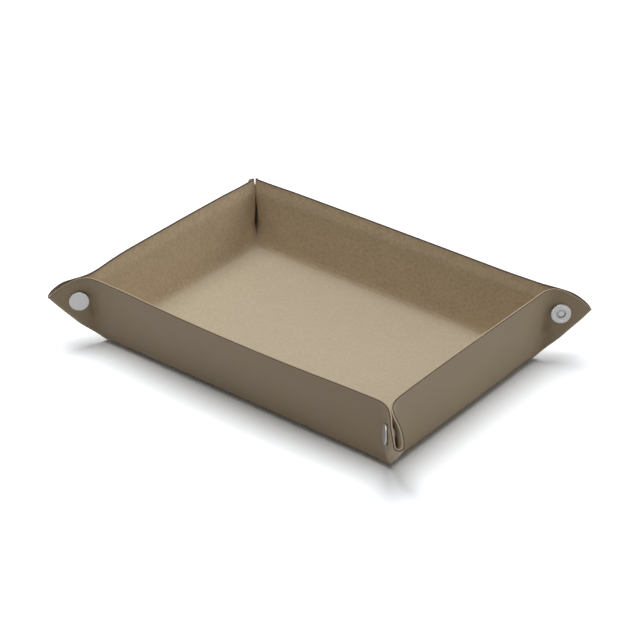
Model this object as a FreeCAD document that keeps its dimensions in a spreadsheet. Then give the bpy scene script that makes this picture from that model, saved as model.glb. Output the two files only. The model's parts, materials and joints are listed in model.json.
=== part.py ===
import FreeCAD, Part
import math
import os
import Sketcher
from FreeCAD import Matrix, Placement, Rotation, Vector

# Valet tray in millimetres, +Z up, origin on the table under the middle of the base.
# +X runs along the long walls to the right, -Y is the front.
#
# One leather sheet with a suede lining glued to its inside is folded up into four leaning walls.
# Where two walls meet, the sheet is pinched into an ear that stands out along the diagonal:
# two ear halves lie face to face, joined by a U fold at the ear's outer edge and by a snap.
# The flat sheet's corners are rounded about the base corners, so the rim keeps one distance,
# the wall slant, from the fold line of a wall and from the corner point of an ear.
#
# Sizes of the sheet are taken on the glue line between leather and lining.
# Each bend is cut in the middle, so that the panels on its two sides can turn apart.

SIZES = {
    # base and walls
    "base_length": 206.0,          # between the fold lines of the short walls
    "base_width": 138.0,           # between the fold lines of the long walls
    "wall_slant": 45.0,            # from fold line to rim, along the wall
    "wall_lean": 7.5,              # degrees from upright, outwards
    "floor_bend": 4.5,             # radius where the floor turns up into a wall
    "floor_corner": 1.5,           # plan radius of the flat floor's corners
    # sheet
    "leather_thickness": 0.9,
    "lining_thickness": 0.7,
    "fold_gap": 0.1,               # slit between two panels in the middle of a bend
    # ears
    "corner_bend": 9.0,            # radius at the rim where a wall turns out into an ear
    "corner_bend_least": 0.2,      # radius of the leather's face at the foot of that bend
    "fold_reach": 0.4,             # from the U fold's line to its crest, short so that the halves part
    "snap_height": 32.0,           # from base corner to snap, along the line where the walls meet
    "snap_margin": 1.0,            # from the end of the corner bend to the cap's edge
    # snap: cap side
    "cap_diameter": 12.0,
    "cap_thickness": 1.2,
    "cap_round": 0.4,
    "post_diameter": 3.4,
    "bore_clearance": 0.2,
    "roll_width": 0.5,
    "roll_height": 0.35,
    "socket_diameter": 10.4,
    "socket_height": 2.4,
    "socket_wall": 0.5,
    "socket_shoulder": 0.8,
    "socket_mouth": 6.2,
    "spring_wire": 0.5,
    "spring_play": 0.1,
    # snap: stud side
    "stud_flange_diameter": 9.0,
    "stud_flange_height": 0.9,
    "stud_head_diameter": 5.0,
    "stud_neck_diameter": 4.4,
    "stud_height": 1.8,
    "stud_crown": 0.5,
    "snap_gap": 0.3,
    "eyelet_diameter": 12.0,
    "eyelet_height": 1.0,
    "eyelet_round": 0.35,
    "eyelet_hollow": 5.0,
    "barrel_wall": 0.4,
}


class Size:
    """A number together with the sheet expression that gives it; angles are in degrees."""

    def __init__(self, text, value):
        self.text = text
        self.value = value

    def combine(self, sign, other, value, swap=False):
        texts = [self.text, other.text if isinstance(other, Size) else repr(float(other))]
        if swap:
            texts.reverse()
        return Size(f"({texts[0]} {sign} {texts[1]})", value)

    def __add__(self, other):
        return self.combine("+", other, self.value + number(other))

    def __radd__(self, other):
        return self + other

    def __sub__(self, other):
        return self.combine("-", other, self.value - number(other))

    def __rsub__(self, other):
        return self.combine("-", other, number(other) - self.value, swap=True)

    def __mul__(self, other):
        return self.combine("*", other, self.value * number(other))

    def __rmul__(self, other):
        return self * other

    def __truediv__(self, other):
        return self.combine("/", other, self.value / number(other))

    def __neg__(self):
        return self * -1


def number(size):
    return size.value if isinstance(size, Size) else float(size)


def sin(angle):
    return Size(f"sin({angle.text})", math.sin(math.radians(angle.value)))


def cos(angle):
    return Size(f"cos({angle.text})", math.cos(math.radians(angle.value)))


def tan(angle):
    return Size(f"tan({angle.text})", math.tan(math.radians(angle.value)))


def asin(ratio):
    return Size(f"(asin({ratio.text}) / 1 deg)", math.degrees(math.asin(ratio.value)))


def acos(ratio):
    return Size(f"(acos({ratio.text}) / 1 deg)", math.degrees(math.acos(ratio.value)))


def atan(ratio):
    return Size(f"(atan({ratio.text}) / 1 deg)", math.degrees(math.atan(ratio.value)))


def root(square):
    return Size(f"sqrt({square.text})", math.sqrt(square.value))


doc = FreeCAD.newDocument("valet_tray")
sheet = doc.addObject("Spreadsheet::Sheet", "Sizes")
size = {}
for row, (alias, value) in enumerate(SIZES.items(), start=1):
    sheet.set(f"A{row}", alias)
    sheet.set(f"B{row}", str(value))
    sheet.setAlias(f"B{row}", alias)
    size[alias] = Size(f"Sizes.{alias}", value)
doc.recompute()


def slit_turn(radius):
    """Turn about a bend's axis that half of the slit between two panels takes."""
    return size["fold_gap"] / 2 / radius * math.degrees(1)


# Folds, worked out from the sheet.
# The floor turns through floor_turn into a wall; the bend takes floor_setback of the sheet on each side.
floor_turn = 90 - size["wall_lean"]
floor_setback = size["floor_bend"] * tan(floor_turn / 2)
floor_half_turn = floor_turn / 2 - slit_turn(size["floor_bend"])

# The corner line, where two neighbouring walls would meet, leans corner_lean out along the diagonal and
# lies corner_fan from the upright of each wall. A wall turns through ear_turn into its ear half.
lean_slope = tan(size["wall_lean"])
corner_lean = atan(lean_slope * math.sqrt(2))
corner_fan = asin(lean_slope / root(1 + 2 * lean_slope * lean_slope))
ear_turn = acos(cos(size["wall_lean"]) / math.sqrt(2))

# That bend is part of a cone with its tip in the base corner, so the sheet bends without stretching.
# cone_angle is the cone's half angle, cone_reach the angle at the tip from the corner line to where the
# bend ends, and cone_turn the turn about the cone's axis.
cone_angle = asin(size["corner_bend"] / size["wall_slant"])
cone_reach = asin(tan(cone_angle) * tan(ear_turn / 2))
reach_square = sin(cone_reach) * sin(cone_reach)
cone_square = sin(cone_angle) * sin(cone_angle)
cone_turn = acos((cone_square - reach_square * (1 + cos(ear_turn))) / cone_square)
cone_half_turn = cone_turn / 2 - slit_turn(size["corner_bend"])
cone_foot = (size["leather_thickness"] + size["corner_bend_least"]) / tan(cone_angle)

# In an ear half, angles are counted at the base corner from the corner line. The U fold's line is where
# 45 degrees of sheet are used up, and the bend round it starts fold_setback before that line. The flat of
# the ear half tapers down to a point, ear_foot from the base corner, where bend and fold meet.
wall_end_fan = corner_fan - cone_reach
fold_fan = 45 - wall_end_fan - cone_turn * sin(cone_angle) + cone_reach
lining_gap = size["socket_height"] + size["snap_gap"] + size["stud_flange_height"]
fold_radius = lining_gap / 2 + size["lining_thickness"]
fold_setback = fold_radius + size["leather_thickness"] - size["fold_reach"]
fold_quarter = 90 - slit_turn(fold_radius)
ear_foot = fold_setback / sin(fold_fan - cone_reach)
lip_foot = ear_foot * cos(fold_fan - cone_reach)

# An ear half starts beside the base corner, so that the two halves stand the fold's width apart.
ear_inset = fold_radius * math.sqrt(2)

# The cap's edge stays clear of the corner bend; the bore goes through leather and lining.
bore_radius = size["post_diameter"] / 2 + size["bore_clearance"]
snap_clear = size["cap_diameter"] / 2 + size["snap_margin"]
snap_out = size["snap_height"] * tan(cone_reach) + snap_clear / cos(cone_reach)


def add_body(label):
    body = doc.addObject("PartDesign::Body", label)
    body.Label = label
    return body


def origin_plane(body, role):
    return next(feature for feature in body.Origin.OriginFeatures if feature.Role == role)


def add_sketch(body, name, role, shift=(0, 0, 0), turn=None):
    """Sketch on one of the body's own planes, shifted in that plane's axes and turned about its upright."""
    sketch = body.newObject("Sketcher::SketchObject", f"{body.Name}_{name}")
    sketch.AttachmentSupport = [(origin_plane(body, role), "")]
    sketch.MapMode = "FlatFace"
    angle = number(turn) if turn is not None else 0
    sketch.AttachmentOffset = Placement(Vector(*map(number, shift)), Rotation(Vector(0, 1, 0), angle))
    for axis, amount in zip("xyz", shift):
        if isinstance(amount, Size):
            sketch.setExpression(f"AttachmentOffset.Base.{axis}", amount.text)
    if turn is not None:
        sketch.setExpression("AttachmentOffset.Rotation.Angle", turn.text)
    return sketch


def bind(sketch, constraint, name, amount):
    """Add a dimension and bind it to the sheet."""
    sketch.renameConstraint(sketch.addConstraint(constraint), name)
    sketch.setExpression(f"Constraints.{name}", amount.text)


def place_point(sketch, edge, end, name, across, up):
    """Dimension one end of an edge from the sketch's origin."""
    for kind, amount in (("X", across), ("Y", up)):
        value = number(amount)
        if abs(value) < 1e-9:
            on_axis = -2 if kind == "X" else -1
            sketch.addConstraint(Sketcher.Constraint("PointOnObject", edge, end, on_axis))
            continue
        points = (-1, 1, edge, end) if value > 0 else (edge, end, -1, 1)
        constraint = Sketcher.Constraint(f"Distance{kind}", *points, abs(value))
        bind(sketch, constraint, f"{name}_{kind.lower()}", amount if value > 0 else -amount)


def polygon(sketch, points):
    """Closed outline of straight edges whose corners are given as pairs of sizes."""
    spots = [Vector(number(across), number(up), 0) for across, up in points]
    count = len(spots)
    for index in range(count):
        sketch.addGeometry(Part.LineSegment(spots[index], spots[(index + 1) % count]), False)
    for index, (across, up) in enumerate(points):
        before = (index - 1) % count
        sketch.addConstraint(Sketcher.Constraint("Coincident", before, 2, index, 1))
        place_point(sketch, index, 1, f"p{index}", across, up)


def ring_sector(sketch, centre, radii, angles):
    """Piece of a ring between two radii and two angles, counted from the sketch's X axis."""
    middle = Vector(number(centre[0]), number(centre[1]), 0)
    inner, outer = radii
    first, last = (math.radians(number(angle)) for angle in angles)
    ends = []
    for name, radius in (("inner", inner), ("outer", outer)):
        circle = Part.Circle(middle, Vector(0, 0, 1), number(radius))
        arc = sketch.addGeometry(Part.ArcOfCircle(circle, first, last), False)
        bind(sketch, Sketcher.Constraint("Radius", arc, number(radius)), name, radius)
        ends.append([circle.value(first), circle.value(last)])
    sketch.addConstraint(Sketcher.Constraint("Coincident", 0, 3, 1, 3))
    place_point(sketch, 0, 3, "centre", *centre)
    for index, name in enumerate(("first", "last")):
        line = sketch.addGeometry(Part.LineSegment(ends[0][index], ends[1][index]), False)
        sketch.addConstraint(Sketcher.Constraint("Coincident", line, 1, 0, index + 1))
        sketch.addConstraint(Sketcher.Constraint("Coincident", line, 2, 1, index + 1))
        slope = math.radians(number(angles[index]))
        if isinstance(angles[index], Size):
            bind(sketch, Sketcher.Constraint("Angle", line, slope), name, angles[index])
        else:
            sketch.addConstraint(Sketcher.Constraint("Angle", line, slope))


def add_pad(body, sketch, name, length, symmetric=False, reverse=False):
    pad = body.newObject("PartDesign::Pad", f"{body.Name}_{name}")
    pad.Profile = sketch
    pad.SideType = "Symmetric" if symmetric else "One side"
    pad.Reversed = reverse
    pad.setExpression("Length", length.text)
    return pad


def add_turned(body, sketch, name, axis, angle=None, reverse=False):
    """Turn a profile about one of its sketch's axes, all the way round unless an angle is given."""
    turned = body.newObject("PartDesign::Revolution", f"{body.Name}_{name}")
    turned.Profile = sketch
    turned.ReferenceAxis = (sketch, [axis])
    turned.Reversed = reverse
    if angle is None:
        turned.Angle = 360
    else:
        turned.setExpression("Angle", angle.text)
    return turned


def frame(origin, across, up, out):
    """Placement whose axes are the three directions given."""
    columns = [Vector(*axis) for axis in (across, up, out)]
    rows = [[column[i] for column in columns] + [origin[i]] for i in range(3)]
    return Placement(Matrix(*rows[0], *rows[1], *rows[2], 0, 0, 0, 1))


# The two layers of the sheet, each from its low to its high side of the glue line, leather outwards.
# On the floor and in the U folds the lining is on the inside of the bend, at the corners on the outside.
LAYERS = {
    "leather": (0, size["leather_thickness"]),
    "lining": (-size["lining_thickness"], 0),
}


def layer_radii(layer, glue_radius):
    """Inner and outer radius of a layer where the sheet bends round the lining's side."""
    low, high = LAYERS[layer]
    return [glue_radius + side if isinstance(side, Size) else glue_radius for side in (low, high)]


def make_base(layer):
    """Floor panel: a rounded rectangle with an upturned lip, the lower half of the floor bend."""
    body = add_body(f"{layer}_base")
    glue = size["leather_thickness"]
    outline = add_sketch(body, "outline", "XY_Plane", (0, 0, 0 if layer == "leather" else glue))
    half_x = size["base_length"] / 2 - floor_setback
    half_y = size["base_width"] / 2 - floor_setback
    corner = size["floor_corner"]
    x, y, r = half_x.value, half_y.value, corner.value
    stops = [(x, 0), (x, y - r), (x - r, y), (r - x, y), (-x, y - r),
             (-x, r - y), (r - x, -y), (x - r, -y), (x, r - y)]
    centres = {1: (x - r, y - r, 0), 3: (r - x, y - r, 90), 5: (r - x, r - y, 180), 7: (x - r, r - y, 270)}
    for index, stop in enumerate(stops):
        after = stops[(index + 1) % len(stops)]
        if index in centres:
            cx, cy, start = centres[index]
            circle = Part.Circle(Vector(cx, cy, 0), Vector(0, 0, 1), r)
            piece = Part.ArcOfCircle(circle, math.radians(start), math.radians(start + 90))
        else:
            piece = Part.LineSegment(Vector(*stop, 0), Vector(*after, 0))
        outline.addGeometry(piece, False)
    count = len(stops)
    for index in range(count):
        after = (index + 1) % count
        if index in centres or after in centres:
            outline.addConstraint(Sketcher.Constraint("Tangent", index, 2, after, 1))
        else:
            outline.addConstraint(Sketcher.Constraint("Coincident", index, 2, after, 1))
    for upright in (0, 4, 8):
        outline.addConstraint(Sketcher.Constraint("Vertical", upright))
    for level in (2, 6):
        outline.addConstraint(Sketcher.Constraint("Horizontal", level))
    for arc in (3, 5, 7):
        outline.addConstraint(Sketcher.Constraint("Equal", 1, arc))
    outline.addConstraint(Sketcher.Constraint("PointOnObject", 0, 1, -1))
    bind(outline, Sketcher.Constraint("Radius", 1, r), "corner", corner)
    bind(outline, Sketcher.Constraint("DistanceX", -1, 1, 0, 1, x), "right", half_x)
    bind(outline, Sketcher.Constraint("DistanceX", 4, 1, -1, 1, x), "left", half_x)
    bind(outline, Sketcher.Constraint("DistanceY", -1, 1, 2, 1, y), "back", half_y)
    bind(outline, Sketcher.Constraint("DistanceY", 6, 1, -1, 1, y), "front", half_y)
    add_pad(body, outline, "floor", size[f"{layer}_thickness"])

    lip = add_sketch(body, "lip", "XZ_Plane")
    ring_sector(lip, (half_x, glue + size["floor_bend"]), layer_radii(layer, size["floor_bend"]),
                (-90, floor_half_turn - 90))
    sweep = body.newObject("PartDesign::AdditivePipe", f"{body.Name}_rim")
    sweep.Profile = lip
    sweep.Spine = outline
    return body


def make_corner_bend(body, layer, tip, fan, reverse):
    """Half of the conical bend between a wall and an ear half, turned about the cone's axis."""
    low, high = LAYERS[layer]
    sketch = add_sketch(body, "bend", "YZ_Plane", (0, 0, tip), -fan)
    rim = size["wall_slant"]
    polygon(sketch, [(cone_foot, low), (rim, low), (rim, high), (cone_foot, high)])
    slope = math.radians(cone_angle.value)
    axis = Part.LineSegment(Vector(0, 0, 0), Vector(math.cos(slope), math.sin(slope), 0) * cone_foot.value)
    line = sketch.addGeometry(axis, True)
    sketch.addConstraint(Sketcher.Constraint("Coincident", line, 1, -1, 1))
    bind(sketch, Sketcher.Constraint("Angle", line, slope), "cone", cone_angle)
    bind(sketch, Sketcher.Constraint("Distance", line, cone_foot.value), "axis_length", cone_foot)
    return add_turned(body, sketch, "cone", "Axis0", cone_half_turn, reverse)


def make_wall(layer, side, base_side, place):
    """Wall panel with the upper half of the floor bend and, at both ends, half a corner bend.

    The panel is drawn with X along the fold line, Y up the wall and Z out of the tray.
    """
    body = add_body(f"{layer}_wall_{side}")
    low, high = LAYERS[layer]
    half = base_side / 2 - ear_inset
    foot = half + floor_setback * tan(wall_end_fan)
    rim = half + size["wall_slant"] * sin(wall_end_fan)
    rim_end = size["wall_slant"] * cos(wall_end_fan)
    panel = add_sketch(body, "panel", "XY_Plane", (0, 0, low))
    polygon(panel, [(-foot, floor_setback), (foot, floor_setback), (rim, rim_end),
                    (half, size["wall_slant"]), (-half, size["wall_slant"]), (-rim, rim_end)])
    add_pad(body, panel, "sheet", size[f"{layer}_thickness"])

    bend = add_sketch(body, "floor_bend", "YZ_Plane")
    ring_sector(bend, (floor_setback, -size["floor_bend"]), layer_radii(layer, size["floor_bend"]),
                (90, 90 + floor_half_turn))
    add_pad(body, bend, "foot", foot * 2, symmetric=True)

    cone = make_corner_bend(body, layer, half, wall_end_fan, reverse=True)
    other_end = body.newObject("PartDesign::Mirrored", f"{body.Name}_other_end")
    other_end.Originals = [cone]
    other_end.MirrorPlane = (origin_plane(body, "YZ_Plane"), [""])
    body.Tip = other_end
    body.Placement = place
    return body


def make_ear(layer, corner, place):
    """Ear half of a long wall: a sector about the base corner with half a corner bend and half the U fold.

    The panel is drawn with Y up the corner line, X out along the ear and Z away from the other half.
    """
    body = add_body(f"{layer}_ear_long_{corner}")
    low, high = LAYERS[layer]
    panel = add_sketch(body, "panel", "XY_Plane", (0, 0, low))
    rim = size["wall_slant"]
    bend_end = math.radians(90 - cone_reach.value)
    fold_line = math.radians(90 - fold_fan.value)
    fold_end = fold_line + math.asin(fold_setback.value / rim.value)
    circle = Part.Circle(Vector(0, 0, 0), Vector(0, 0, 1), rim.value)
    foot = Vector(math.cos(bend_end), math.sin(bend_end), 0) * ear_foot.value
    top = panel.addGeometry(Part.ArcOfCircle(circle, fold_end, bend_end), False)
    outer_side = panel.addGeometry(Part.LineSegment(foot, circle.value(fold_end)), False)
    inner_side = panel.addGeometry(Part.LineSegment(foot, circle.value(bend_end)), False)
    panel.addConstraint(Sketcher.Constraint("Coincident", top, 3, -1, 1))
    panel.addConstraint(Sketcher.Constraint("Coincident", outer_side, 1, inner_side, 1))
    panel.addConstraint(Sketcher.Constraint("Coincident", outer_side, 2, top, 1))
    panel.addConstraint(Sketcher.Constraint("Coincident", inner_side, 2, top, 2))
    panel.addConstraint(Sketcher.Constraint("PointOnObject", -1, 1, inner_side))
    bind(panel, Sketcher.Constraint("Radius", top, rim.value), "rim", rim)
    bind(panel, Sketcher.Constraint("Angle", outer_side, fold_line), "fold", 90 - fold_fan)
    bind(panel, Sketcher.Constraint("Distance", inner_side, 1, -1, 1, ear_foot.value), "foot", ear_foot)
    bind(panel, Sketcher.Constraint("Angle", inner_side, bend_end), "bend_end", 90 - cone_reach)
    snap = Vector(snap_out.value, size["snap_height"].value, 0)
    bore = panel.addGeometry(Part.Circle(snap, Vector(0, 0, 1), bore_radius.value), False)
    place_point(panel, bore, 3, "snap", snap_out, size["snap_height"])
    bind(panel, Sketcher.Constraint("Radius", bore, bore_radius.value), "bore", bore_radius)
    add_pad(body, panel, "sheet", size[f"{layer}_thickness"])

    lip_x = lip_foot * sin(fold_fan)
    lip_y = lip_foot * cos(fold_fan)
    lip = add_sketch(body, "fold", "XZ_Plane", (lip_x, 0, -lip_y), -fold_fan)
    radii = layer_radii(layer, fold_radius)
    ring_sector(lip, (-fold_setback, -fold_radius), radii, (90 - fold_quarter, 90))
    add_pad(body, lip, "lip", rim - lip_foot, reverse=True)

    make_corner_bend(body, layer, 0, cone_reach, reverse=False)
    body.Placement = place
    return body


def make_turned(label, points, place):
    """Snap piece: a profile of radius and height turned about the snap's axis."""
    body = add_body(label)
    sketch = add_sketch(body, "profile", "XZ_Plane")
    polygon(sketch, points)
    add_turned(body, sketch, "turned", "V_Axis")
    body.Placement = place
    return body


def rounded_edge(radius, height, rounding):
    """Edge of a disc's face, eased in two facets, from the face out to its side."""
    cut = 1 - math.sqrt(0.5)
    eased = (radius - rounding * cut, height - rounding * cut)
    return [(radius - rounding, height), eased, (radius, height - rounding)]


WIRE_SIDES = 6        # facets round the spring's wire, which is hidden in its socket


def make_snap(corner, place):
    """The five snap pieces of one ear, on an axis that points out of the long wall's ear half.

    Height 0 is the glue line of that half; the short wall's half lies below it, across the lining gap.
    """
    cap_seat = size["leather_thickness"]
    cap_face = cap_seat + size["cap_thickness"]
    socket_seat = -size["lining_thickness"]
    socket_floor = socket_seat - size["socket_wall"]
    socket_face = socket_seat - size["socket_height"]
    post = size["post_diameter"] / 2
    roll = post + size["roll_width"]
    roll_end = socket_floor - size["roll_height"]
    cap_edge = rounded_edge(size["cap_diameter"] / 2, cap_face, size["cap_round"])
    make_turned(f"snap_cap_{corner}",
                [(0, cap_face), *cap_edge, (size["cap_diameter"] / 2, cap_seat), (post, cap_seat),
                 (post, socket_floor), (roll, socket_floor), (roll, roll_end), (0, roll_end)], place)

    rim = size["socket_diameter"] / 2
    mouth = size["socket_mouth"] / 2
    lip = socket_face + size["socket_wall"]
    cavity = rim - size["socket_shoulder"] - size["socket_wall"]
    shoulder = size["socket_shoulder"]
    make_turned(f"snap_socket_{corner}",
                [(bore_radius, socket_seat), (rim, socket_seat), (rim, socket_face + shoulder),
                 (rim - shoulder, socket_face), (mouth, socket_face), (mouth, lip), (cavity, lip),
                 (cavity, socket_floor), (bore_radius, socket_floor)], place)

    wire = size["spring_wire"] / 2
    coil = cavity - size["spring_play"] - wire
    level = lip + size["spring_play"] + wire
    around = [2 * math.pi * side / WIRE_SIDES for side in range(WIRE_SIDES)]
    make_turned(f"snap_spring_{corner}",
                [(coil + wire * math.cos(turn), level + wire * math.sin(turn)) for turn in around], place)

    stud_seat = socket_seat - lining_gap
    flange_face = stud_seat + size["stud_flange_height"]
    tip = flange_face + size["stud_height"]
    crown = size["stud_crown"]
    head = size["stud_head_diameter"] / 2
    neck = size["stud_neck_diameter"] / 2
    flange = size["stud_flange_diameter"] / 2
    make_turned(f"snap_stud_{corner}",
                [(bore_radius, stud_seat), (flange, stud_seat), (flange, flange_face), (neck, flange_face),
                 (head, tip - crown), (head - crown, tip), (0, tip), (0, tip - crown),
                 (bore_radius, tip - crown)], place)

    eyelet_seat = stud_seat - size["lining_thickness"] - size["leather_thickness"]
    eyelet_face = eyelet_seat - size["eyelet_height"]
    edge = size["eyelet_diameter"] / 2
    ease = size["eyelet_round"]
    hollow = size["eyelet_hollow"] / 2
    barrel = post - size["barrel_wall"]
    make_turned(f"snap_eyelet_{corner}",
                [(hollow, eyelet_face), (edge - ease, eyelet_face), (edge, eyelet_face + ease),
                 (edge, eyelet_seat), (post, eyelet_seat), (post, flange_face), (barrel, flange_face),
                 (barrel, eyelet_seat)], place)


def mirror(source, label, base, normal):
    copy = doc.addObject("Part::Mirroring", label)
    copy.Label = label
    copy.Source = source
    copy.Base = base
    copy.Normal = normal
    return copy


# Frames of the front wall, the right wall and the front wall's ear half at the front right corner.
lean = math.radians(size["wall_lean"].value)
glue_level = size["leather_thickness"].value
half_length = size["base_length"].value / 2
half_width = size["base_width"].value / 2
wall_up = (0, -math.sin(lean), math.cos(lean))
wall_out = (0, -math.cos(lean), -math.sin(lean))
front_frame = frame((0, -half_width, glue_level), (1, 0, 0), wall_up, wall_out)
side_frame = frame((0, -half_length, glue_level), (1, 0, 0), wall_up, wall_out)
right_frame = Placement(Vector(0, 0, 0), Rotation(Vector(0, 0, 1), 90)).multiply(side_frame)

diagonal = math.sqrt(0.5)
tilt = math.radians(corner_lean.value)
ear_out = (math.cos(tilt) * diagonal, -math.cos(tilt) * diagonal, -math.sin(tilt))
corner_line = (math.sin(tilt) * diagonal, -math.sin(tilt) * diagonal, math.cos(tilt))
ear_origin = (half_length - ear_inset.value, -half_width, glue_level)
ear_frame = frame(ear_origin, ear_out, corner_line, (-diagonal, -diagonal, 0))
snap_spot = Placement(Vector(snap_out.value, size["snap_height"].value, 0), Rotation())

# One of each, then its mirror images: walls across the tray, ears and snaps to the other corners.
across_x = Vector(1, 0, 0)
across_y = Vector(0, 1, 0)
middle = Vector(0, 0, 0)
base_corner = Vector(half_length, -half_width, 0)
diagonal_plane = Vector(1, 1, 0)
FIRST_CORNER = "front_right"
for layer in LAYERS:
    make_base(layer)
    front = make_wall(layer, "front", size["base_length"], front_frame)
    right = make_wall(layer, "right", size["base_width"], right_frame)
    mirror(front, f"{layer}_wall_back", middle, across_y)
    mirror(right, f"{layer}_wall_left", middle, across_x)
    ear = make_ear(layer, FIRST_CORNER, ear_frame)
    mirror(ear, f"{layer}_ear_short_{FIRST_CORNER}", base_corner, diagonal_plane)
make_snap(FIRST_CORNER, ear_frame.multiply(snap_spot))
doc.recompute()

corner_pieces = [piece for piece in doc.Objects if piece.Label.endswith(FIRST_CORNER)]
for piece in corner_pieces:
    stem = piece.Label[:-len(FIRST_CORNER)]
    front_left = mirror(piece, f"{stem}front_left", middle, across_x)
    mirror(piece, f"{stem}back_right", middle, across_y)
    mirror(front_left, f"{stem}back_left", middle, across_y)
doc.recompute()

nodes = [item for item in doc.Objects if item.TypeId in ("PartDesign::Body", "Part::Mirroring")]
for item in doc.Objects:
    if "Invalid" in item.State or "Error" in item.State:
        raise RuntimeError(f"{item.Label} failed: {item.State}")
for node in nodes:
    if node.Shape.isNull() or not node.Shape.isValid() or len(node.Shape.Solids) != 1:
        raise RuntimeError(f"{node.Label} is not one valid solid")

os.makedirs("parts", exist_ok=True)
for node in nodes:
    node.Shape.exportStep(f"parts/{node.Label}.step")
print(len(nodes), "parts written")
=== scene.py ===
"""Dresses the packed frame of a valet tray: a lined leather sheet with pinched corners and press snaps."""

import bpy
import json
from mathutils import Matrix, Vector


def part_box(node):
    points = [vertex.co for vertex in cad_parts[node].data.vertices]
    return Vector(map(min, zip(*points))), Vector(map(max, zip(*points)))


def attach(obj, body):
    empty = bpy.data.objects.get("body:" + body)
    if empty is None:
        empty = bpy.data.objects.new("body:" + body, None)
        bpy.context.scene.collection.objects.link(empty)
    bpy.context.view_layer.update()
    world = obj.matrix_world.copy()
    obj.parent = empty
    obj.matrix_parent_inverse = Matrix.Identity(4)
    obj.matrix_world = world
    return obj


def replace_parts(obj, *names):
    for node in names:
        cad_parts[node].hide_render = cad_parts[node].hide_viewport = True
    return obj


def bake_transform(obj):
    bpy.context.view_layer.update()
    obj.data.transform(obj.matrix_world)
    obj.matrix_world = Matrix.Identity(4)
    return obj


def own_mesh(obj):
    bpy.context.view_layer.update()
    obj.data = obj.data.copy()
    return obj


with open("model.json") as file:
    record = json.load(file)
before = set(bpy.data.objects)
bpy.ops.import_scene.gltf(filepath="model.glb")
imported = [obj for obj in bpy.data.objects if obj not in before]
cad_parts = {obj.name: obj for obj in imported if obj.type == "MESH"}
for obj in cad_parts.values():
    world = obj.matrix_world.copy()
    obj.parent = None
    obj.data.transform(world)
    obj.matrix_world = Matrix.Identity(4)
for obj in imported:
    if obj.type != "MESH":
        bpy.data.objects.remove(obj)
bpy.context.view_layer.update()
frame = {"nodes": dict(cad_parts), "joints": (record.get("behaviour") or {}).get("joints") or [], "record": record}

import json
import math

import bmesh
import bpy
import numpy as np
from bpy.props import FloatProperty, FloatVectorProperty, PointerProperty
from mathutils import Matrix, Vector

bl_info = {
    "name": "Valet Tray",
    "version": (1, 0, 0),
    "blender": (4, 5, 0),
    "location": "View3D > Sidebar > Tray",
    "description": "Builds a valet tray folded from one lined leather sheet, around its packed frame",
    "category": "Object",
}

MM = 0.001
TINY = 1e-9     # keeps a division from zero
LEADER = "front_wall_fold"

JOINTS = {joint["name"]: joint for joint in frame["joints"]}
COLOURS = {material["slot"]: material["base_color"] for material in frame["record"]["materials"]}

# Corners and walls by their signs in X and Y.
CORNERS = {"front_right": (1, -1), "front_left": (-1, -1), "back_right": (1, 1), "back_left": (-1, 1)}
WALLS = {"front": (0, -1), "back": (0, 1), "right": (1, 0), "left": (-1, 0)}

# The base's half sizes and the glue plane between leather and lining, from the folds of the walls.
HALF_LENGTH = JOINTS["right_wall_fold"]["pos_m"][0]
HALF_WIDTH = JOINTS["back_wall_fold"]["pos_m"][1]
GLUE_HEIGHT = JOINTS[LEADER]["pos_m"][2]

# TILT is the corner line's angle from upright, LEAN the walls', FAN the corner line's angle within a wall.
TILT = math.acos(abs(JOINTS["front_right_long_ear_fold"]["axis"][2]))
LEAN = math.atan(math.tan(TILT) / math.sqrt(2))
FAN = math.atan(math.sin(LEAN))
SLANT = (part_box("leather_wall_front")[1].z - GLUE_HEIGHT) / math.cos(LEAN)
DIAGONAL = math.radians(45)
ROOT_HALF = math.sqrt(0.5)


def length(name, description, default):
    """A length that the sidebar shows in the scene's units."""
    return FloatProperty(name=name, description=description, default=default, unit="LENGTH", precision=5)


def colour(name, description, default):
    """A linear colour that the sidebar shows as a swatch."""
    return FloatVectorProperty(name=name, description=description, default=default, subtype="COLOR",
                               min=0, max=1)


def angle(name, description, degrees):
    """An angle, given here in degrees."""
    return FloatProperty(name=name, description=description, default=math.radians(degrees), subtype="ANGLE")


def place(name, description, default):
    """A point or a pair of sides, in the scene's units."""
    return FloatVectorProperty(name=name, description=description, default=default, size=len(default),
                               unit="LENGTH")


def power(name, description, default):
    """A lamp's power in watts."""
    return FloatProperty(name=name, description=description, default=default, subtype="POWER")


def strength(name, description, default):
    """A plain factor of light."""
    return FloatProperty(name=name, description=description, default=default, min=0)


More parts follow.
